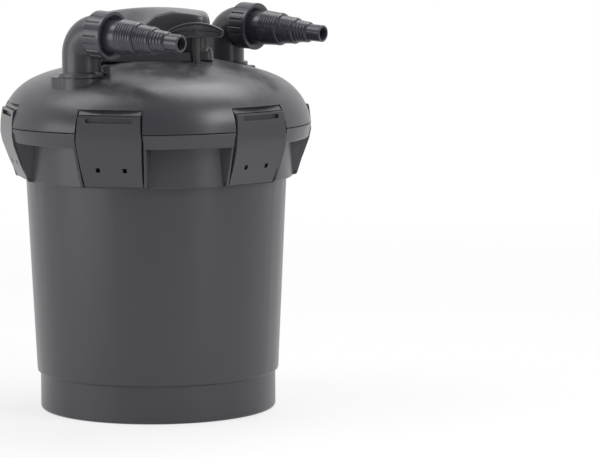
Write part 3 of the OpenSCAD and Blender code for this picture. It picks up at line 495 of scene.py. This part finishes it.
def elbow(name, side):
    """A pipe swept up its riser and round the bend. The outer skin has the foot flange with a small
    fillet, and a thin raised parting line in the plane of the bend. It turns in at both ends and
    comes back through the bore. t runs along the centre line from the ground's level, and past the
    riser the angle turned is the length divided by the bend's radius."""
    low, riser = BOSS_Z - FOOT_LEN, MOUTH_Z - CORNER
    groove, groove_end, groove_r = low + GROOVE_S, low + GROOVE_S + GROOVE_W, PIPE_R - GROOVE_D
    flange_end, flange_r = BOSS_Z + FLANGE_H, PIPE_R + FLANGE_OUT
    end = riser + BEND_R * TURN
    out = end + SPIGOT - CORNER
    outer = rounded([(low, BORE_R, 0), (low, PIPE_R, 0.6),
                     (groove, PIPE_R, 0.2), (groove, groove_r, 0.2),
                     (groove_end, groove_r, 0.2), (groove_end, PIPE_R, 0.2),
                     (BOSS_Z, PIPE_R, 0.2), (BOSS_Z, flange_r, 0.7),
                     (flange_end, flange_r, 1.1), (flange_end, PIPE_R, 2.6), (riser, PIPE_R, 0)], 6)
    arc = np.linspace(riser, end, 40)
    bend = np.stack([arc[1:-1], np.full(len(arc) - 2, PIPE_R)], -1)
    front = rounded([(end, PIPE_R, 0), (end + 0.2, THREAD_R, 0.1), (out, THREAD_R, 0.8),
                     (out, BORE_R, 0)], 4)
    inner = np.append(arc[::-1], low)
    bore = np.stack([inner, np.full(len(inner), BORE_R)], -1)
    t, r = np.vstack([outer, bend, front, bore]).T
    a = np.linspace(0, 2 * pi, 128, endpoint=False)
    b = np.clip((t - riser) / BEND_R, 0, TURN)[:, None]
    head = np.array([cos(HEADING), sin(HEADING), 0.0])
    up = np.array([0.0, 0.0, 1.0])
    centre = (np.minimum(t, riser)[:, None] * up + BEND_R * (1 - np.cos(b)) * head
              + BEND_R * np.sin(b) * up + np.maximum(t - end, 0)[:, None] * ALONG)
    inward = np.cos(b) * head - np.sin(b) * up
    sideways = np.cross(up, head)
    radius = np.repeat(r[:, None], len(a), 1)
    seam = np.exp(-(np.sin(a)[None] * radius / SEAM_W)**2) * SEAM_H
    radius = radius + seam * ((t > flange_end + 3) & (t < end - 2) & (r > PIPE_R - 0.1))[:, None]
    around = np.cos(a)[None, :, None] * inward[:, None] + np.sin(a)[None, :, None] * sideways
    points = (centre + np.array([*side * PORT, 0.0]))[:, None] + radius[..., None] * around
    return surface(name, points[:, ::-1], close_rows=True)


# ---------------------------------------------------------------- hood and grip


def hood_top(x, y):
    """Height of the hood's top: a crown that falls as x and y squared, less the eased hollow."""
    fall = CROWN_SIDE * (2 * x / HOOD_W)**2 + CROWN_END * ((y - HOOD_MID) / HOOD_HALF)**2
    share = ease((HOLLOW_X - x) / HOLLOW_RUN_X) * ease((HOLLOW_Y - y) / HOLLOW_RUN_Y)
    return HOOD_H - fall - HOLLOW * share


def hood_shell(name):
    """Rings of a rounded rectangle, shrunk about its middle from the foot up the wall, over the
    rounded edge and across the top, each lifted to its share of the top's height there. The same
    rings, smaller by the wall all round, make the inside, and the two meet at the foot."""
    share, lift = smooth_steps(
        [(0.02, 1), (0.12, 1), (0.3, 1), (0.5, 1), (0.7, 1), (0.85, 1), (0.905, 0.98),
         (0.945, 0.93), (0.968, 0.84), (0.978, 0.72), (0.985, 0.45), (0.995, 0.06), (1, 0)], 110).T
    a = np.linspace(0, 2 * pi, 256, endpoint=False)
    squareness = 0.27
    edge_x, edge_y = (np.sign(w) * np.abs(w)**squareness for w in (np.cos(a), np.sin(a)))

    def rings(share, lift, wall):
        x = share[:, None] * (HOOD_W / 2 - wall) * edge_x
        y = HOOD_MID + share[:, None] * (HOOD_HALF - wall) * edge_y
        return np.stack([x, y, HOOD_Z + lift[:, None] * (hood_top(x, y) - wall)], -1)

    skins = [rings(share, lift, 0.0), rings(share[::-4], lift[::-4], HOOD_WALL)]
    return surface(name, np.vstack(skins)[:, ::-1], caps=True)


def grip_rim(inset):
    """The grip's outline shrunk by the inset: a flat foot and round corners under an arch."""
    corner = GRIP_CORNER - inset / 2
    half = GRIP_W / 2 - inset
    flat = half - corner
    t = np.linspace(-pi / 2, 0, 9)
    x = np.linspace(half, -half, 61)
    arch = np.sqrt((ARCH_R - inset)**2 - x**2) + GRIP_H - ARCH_R
    foot = np.linspace(-flat, flat, 24)[1:-1]
    turn_x, turn_z = flat + corner * np.cos(t), inset + corner * (1 + np.sin(t))
    across = np.concatenate([turn_x, x, -turn_x[::-1], foot])
    height = np.concatenate([turn_z, arch, turn_z[::-1], np.full_like(foot, inset)])
    return across, height


def grip(name):
    """Outlines at a run of depths and insets, from the back's hollow over both rims to the
    front's. The hollow's floor sinks by its depth times 1 less a bell curve of x, so that a web
    stays in the middle, over the rod."""
    half = GRIP_T / 2
    edge = [(half - 1.6, 5.1), (half - 1.55, 3.4), (half - 1.45, 2.5), (half - 1.0, 2.1),
            (half - 0.35, 1.85), (half - 0.05, 1.55), (half, 1.3), (half, 0.7),
            (half - 0.12, 0.3), (half - 0.4, 0.08), (half - 0.9, 0.0)]
    rings = []
    for depth, inset in edge + [(-d, i) for d, i in edge[::-1]]:
        x, z = grip_rim(inset)
        deepest = 2.3 if inset > 3 else 1.9 if inset > 2.4 else 0.9 if inset > 2 else 0
        sunk = deepest * (1 - np.exp(-(x / ROD_ROOM)**2))
        y = PULL[1] + depth - np.sign(depth) * sunk
        rings.append(np.stack([PULL[0] + x, y, GRIP_Z + z], -1))
    return surface(name, np.array(rings), caps=True)


# ---------------------------------------------------------------- foam


def foam(name, k):
    """Ring k from the top: a rounded rectangle turned about the part's axis. Its outer face is
    drawn in by a few low waves and by pores, and its top by pores alone. The pull rod passes
    through it."""
    gap, play = 0.15, 0.4
    top = STACK_Z - k * FOAM_H - gap
    low = top - FOAM_H + gap
    out_r, in_r = FOAM_R - play, TUBE_R + 1.2
    path = rounded([(in_r, low + play, 0), (out_r, low + play, 3), (out_r, top - play, 3),
                    (in_r, top - play, 2), (in_r, low + play, 0)], 7)
    dense = [path[:1]]
    for p, q in zip(path[:-1], path[1:]):
        n = max(1, int(np.hypot(*(q - p)) / 3))
        dense.append(p + (q - p) * (np.arange(1, n + 1) / n)[:, None])
    path = np.vstack(dense)[:-1]
    a = np.linspace(0, 2 * pi, 300, endpoint=False)
    r, z = (np.repeat(column[:, None], len(a), 1) for column in path.T)
    rng = np.random.default_rng(20 + k)
    wave = sum(rng.uniform(0.1, 0.3)
               * np.sin(n * a[None] + rng.uniform(0, 6) + z * rng.uniform(0.05, 0.2))
               for n in (3, 5, 8, 13, 21))
    pores = np.abs(rng.normal(0, 0.22, r.shape))
    r = r - np.where(r > out_r - 3.5, np.abs(wave) + pores, 0)
    on_top = (r > in_r + 2) & (r < out_r - 4) & (z > (top + low) / 2)
    z = z - np.where(on_top, pores * 0.5, 0)
    return surface(name, np.stack([r * np.cos(a), r * np.sin(a), z], -1), close_rows=True)


# ---------------------------------------------------------------- softer edges on the solids

# points within WELD m join, faces within FLAT of each other become one, and past CREASE is an edge,
# which is rounded by EDGE mm or by the little that the node's smallest faces have room for
WELD, FLAT, CREASE, EDGE = 0.00002, radians(0.8), radians(38), 0.5
SOFT = ("tank", "lid", "head_base", *(f"clip_{k}" for k in range(1, 7)))


def even_shading():
    """Smooth faces, with a crease where two of them meet at more than the crease's angle."""
    group = bpy.data.node_groups.new("even_shading", "GeometryNodeTree")
    for way in ("INPUT", "OUTPUT"):
        group.interface.new_socket("Geometry", in_out=way, socket_type="NodeSocketGeometry")
    g = Graph(group)
    smooth = g.node("GeometryNodeSetShadeSmooth", {}, Geometry=g.node("NodeGroupInput", {}))
    bend = g.node("GeometryNodeInputMeshEdgeAngle", {})
    sharp = g.node("FunctionNodeCompare", {}, bend, CREASE)
    creased = g.node("GeometryNodeSetShadeSmooth", {"domain": "EDGE"}, Geometry=smooth,
                     Selection=sharp, Shade_Smooth=False)
    g.feed(creased, group.nodes.new("NodeGroupOutput").inputs[0])
    return group


def soften(obj, shading):
    """Joins a CAD node's loose triangles, takes the knife edge off its corners and evens its
    shading."""
    weld = obj.modifiers.new("weld", "WELD")
    weld.merge_threshold = WELD
    flat = obj.modifiers.new("flat", "DECIMATE")
    flat.decimate_type, flat.angle_limit = "DISSOLVE", FLAT
    bevel = obj.modifiers.new("bevel", "BEVEL")
    bevel.width, bevel.segments = EDGE * MM, 2
    bevel.limit_method, bevel.angle_limit = "ANGLE", CREASE
    bevel.use_clamp_overlap = True
    obj.modifiers.new("even", "NODES").node_group = shading
    obj.modifiers.new("normals", "WEIGHTED_NORMAL").keep_sharp = True


# ---------------------------------------------------------------- making

make_camera()
housing = moulded_plastic("housing_charcoal", (0.039, 0.039, 0.047), (0.053, 0.053, 0.063), 0.31)
fitting = spun_plastic("fitting_slate", (0.03, 0.03, 0.041), (0.045, 0.045, 0.06), 0.22)
inner = moulded_plastic("inner_black", (0.022, 0.022, 0.024), (0.036, 0.036, 0.038), 0.45,
                        grain=1.4, scuffs=0.6, dust=0.4)
seal = rubber("seal_rubber")
pin_steel = steel("pin_steel")
blackened = moulded_plastic("pin_blackened", (0.03, 0.03, 0.033), (0.05, 0.05, 0.054), 0.4,
                            grain=0.6, scuffs=0.5, dust=0.3)
# each foam's second colour is the painted shade in its pores
blue = open_foam("foam_blue", (0.05, 0.13, 0.34), (0.012, 0.03, 0.09), 320.0)
red = open_foam("foam_red", (0.36, 0.08, 0.06), (0.09, 0.018, 0.014), 520.0)
quartz = clear_glass("quartz_clear", (0.93, 0.96, 0.98), 0.03)
lamp_glass = clear_glass("lamp_clear", (0.95, 0.95, 0.97), 0.02)
ceramic = glazed("socket_white", (0.8, 0.8, 0.77), 0.3)
alloy = glazed("ballast_alloy", (0.55, 0.56, 0.58), 0.35)

slots = {e["node"]: e["material_slot"] for e in frame["record"]["subparts"]}
finishes = {"housing_plastic": housing, "fitting_plastic": fitting, "inner_plastic": inner,
            "steel": pin_steel, "rubber": seal, "blue_foam": blue, "red_foam": red,
            "quartz": quartz, "lamp_glass": lamp_glass, "ceramic": ceramic, "aluminium": alloy}

shading = even_shading()
for name in SOFT:
    soften(nodes[name], shading)

for name, obj in nodes.items():
    dress(obj, blackened if name == "clip_pins" else finishes[slots[name]])

for side, port in ((-1, "inlet"), (1, "outlet")):
    for make, part, slot_name in ((elbow, "elbow", "housing_plastic"),
                                  (union_nut, "nut", "fitting_plastic"),
                                  (hose_tail, "tail", "fitting_plastic")):
        node = f"{port}_{part}"
        add_piece(make(f"{node}_fine", side), finishes[slot_name], f"{node}_body", node)

add_piece(hood_shell("hood_fine"), housing, "lid_body", "hood")
add_piece(grip("grip_fine"), housing, "pull_body", "pull_grip")

for k in range(4):
    slot_name = ("blue_foam", "red_foam")[k % 2]
    ring = add_piece(foam(f"foam_fine_{k + 1}", k), finishes[slot_name], "lid_body",
                     f"foam_ring_{k + 1}")
    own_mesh(ring)

# ---------------------------------------------------------------- floor and light

FLOOR_X, FLOOR_NEAR, FLOOR_FAR, FLOOR_Z = 9000.0, -6000.0, 16000.0, -0.2
ROOM_DARK, ROOM_LEVEL = 0.12, 0.36


def pale_floor(name):
    """A pale floor. The camera sees it as white, a little darker near the part, and reflections
    see it so behind the part and close to it. Other rays meet a plain pale surface."""
    f = Finish(name, Roughness=0.7, Base_Color=(0.88, 0.88, 0.88, 1))
    behind = f.node("ShaderNodeSeparateXYZ", {}, f.place, out="Y").ramp(-0.1, 0.35)
    distance = f.node("ShaderNodeVectorMath", {"operation": "LENGTH"}, f.place, out="Value")
    near = 1.0 - distance.ramp(0.35, 0.9)
    seen = f.ray("Camera").larger(f.ray("Glossy") * behind.larger(near * 0.8))
    white = f.node("ShaderNodeEmission", {}, (1, 1, 1, 1), 1.0)
    ground = f.node("ShaderNodeMixShader", {}, seen * (0.72 + distance.ramp(0.3, 2.2) * 0.28),
                    Val(f, f.shader.outputs[0]), white)
    f.feed(ground, f.tree.nodes["Material Output"].inputs["Surface"])
    return f.mat


def studio_world():
    """White where the camera or glass sees it, darker in reflections of the camera's side of the
    room, and a plain level on everything else."""
    world = bpy.data.worlds.new("studio")
    bpy.context.scene.world = world
    world.use_nodes = True
    g = Graph(world.node_tree)
    way = g.node("ShaderNodeTexCoord", {}, out="Generated")
    room = g.node("ShaderNodeSeparateXYZ", {}, way, out="Y").ramp(-0.75, 0.35, ROOM_DARK, 1.0)
    shiny = g.ray("Glossy")
    level = (1.0 - shiny) * ROOM_LEVEL + shiny * room
    strength = g.ray("Camera").larger(g.ray("Transmission")).larger(level)
    background = world.node_tree.nodes["Background"]
    g.feed(strength, background.inputs["Strength"])
    g.feed((1, 1, 1, 1), background.inputs["Color"])


ground = [[(x, y, FLOOR_Z) for x in (-FLOOR_X, FLOOR_X)] for y in (FLOOR_NEAR, FLOOR_FAR)]
floor = surface("floor", ground, close_cols=False)
dress(floor, pale_floor("floor_pale"))
studio_world()
for name, lamp in LAMPS.items():
    soft_lamp(name, *lamp)
bpy.context.scene.view_settings.view_transform = "Standard"
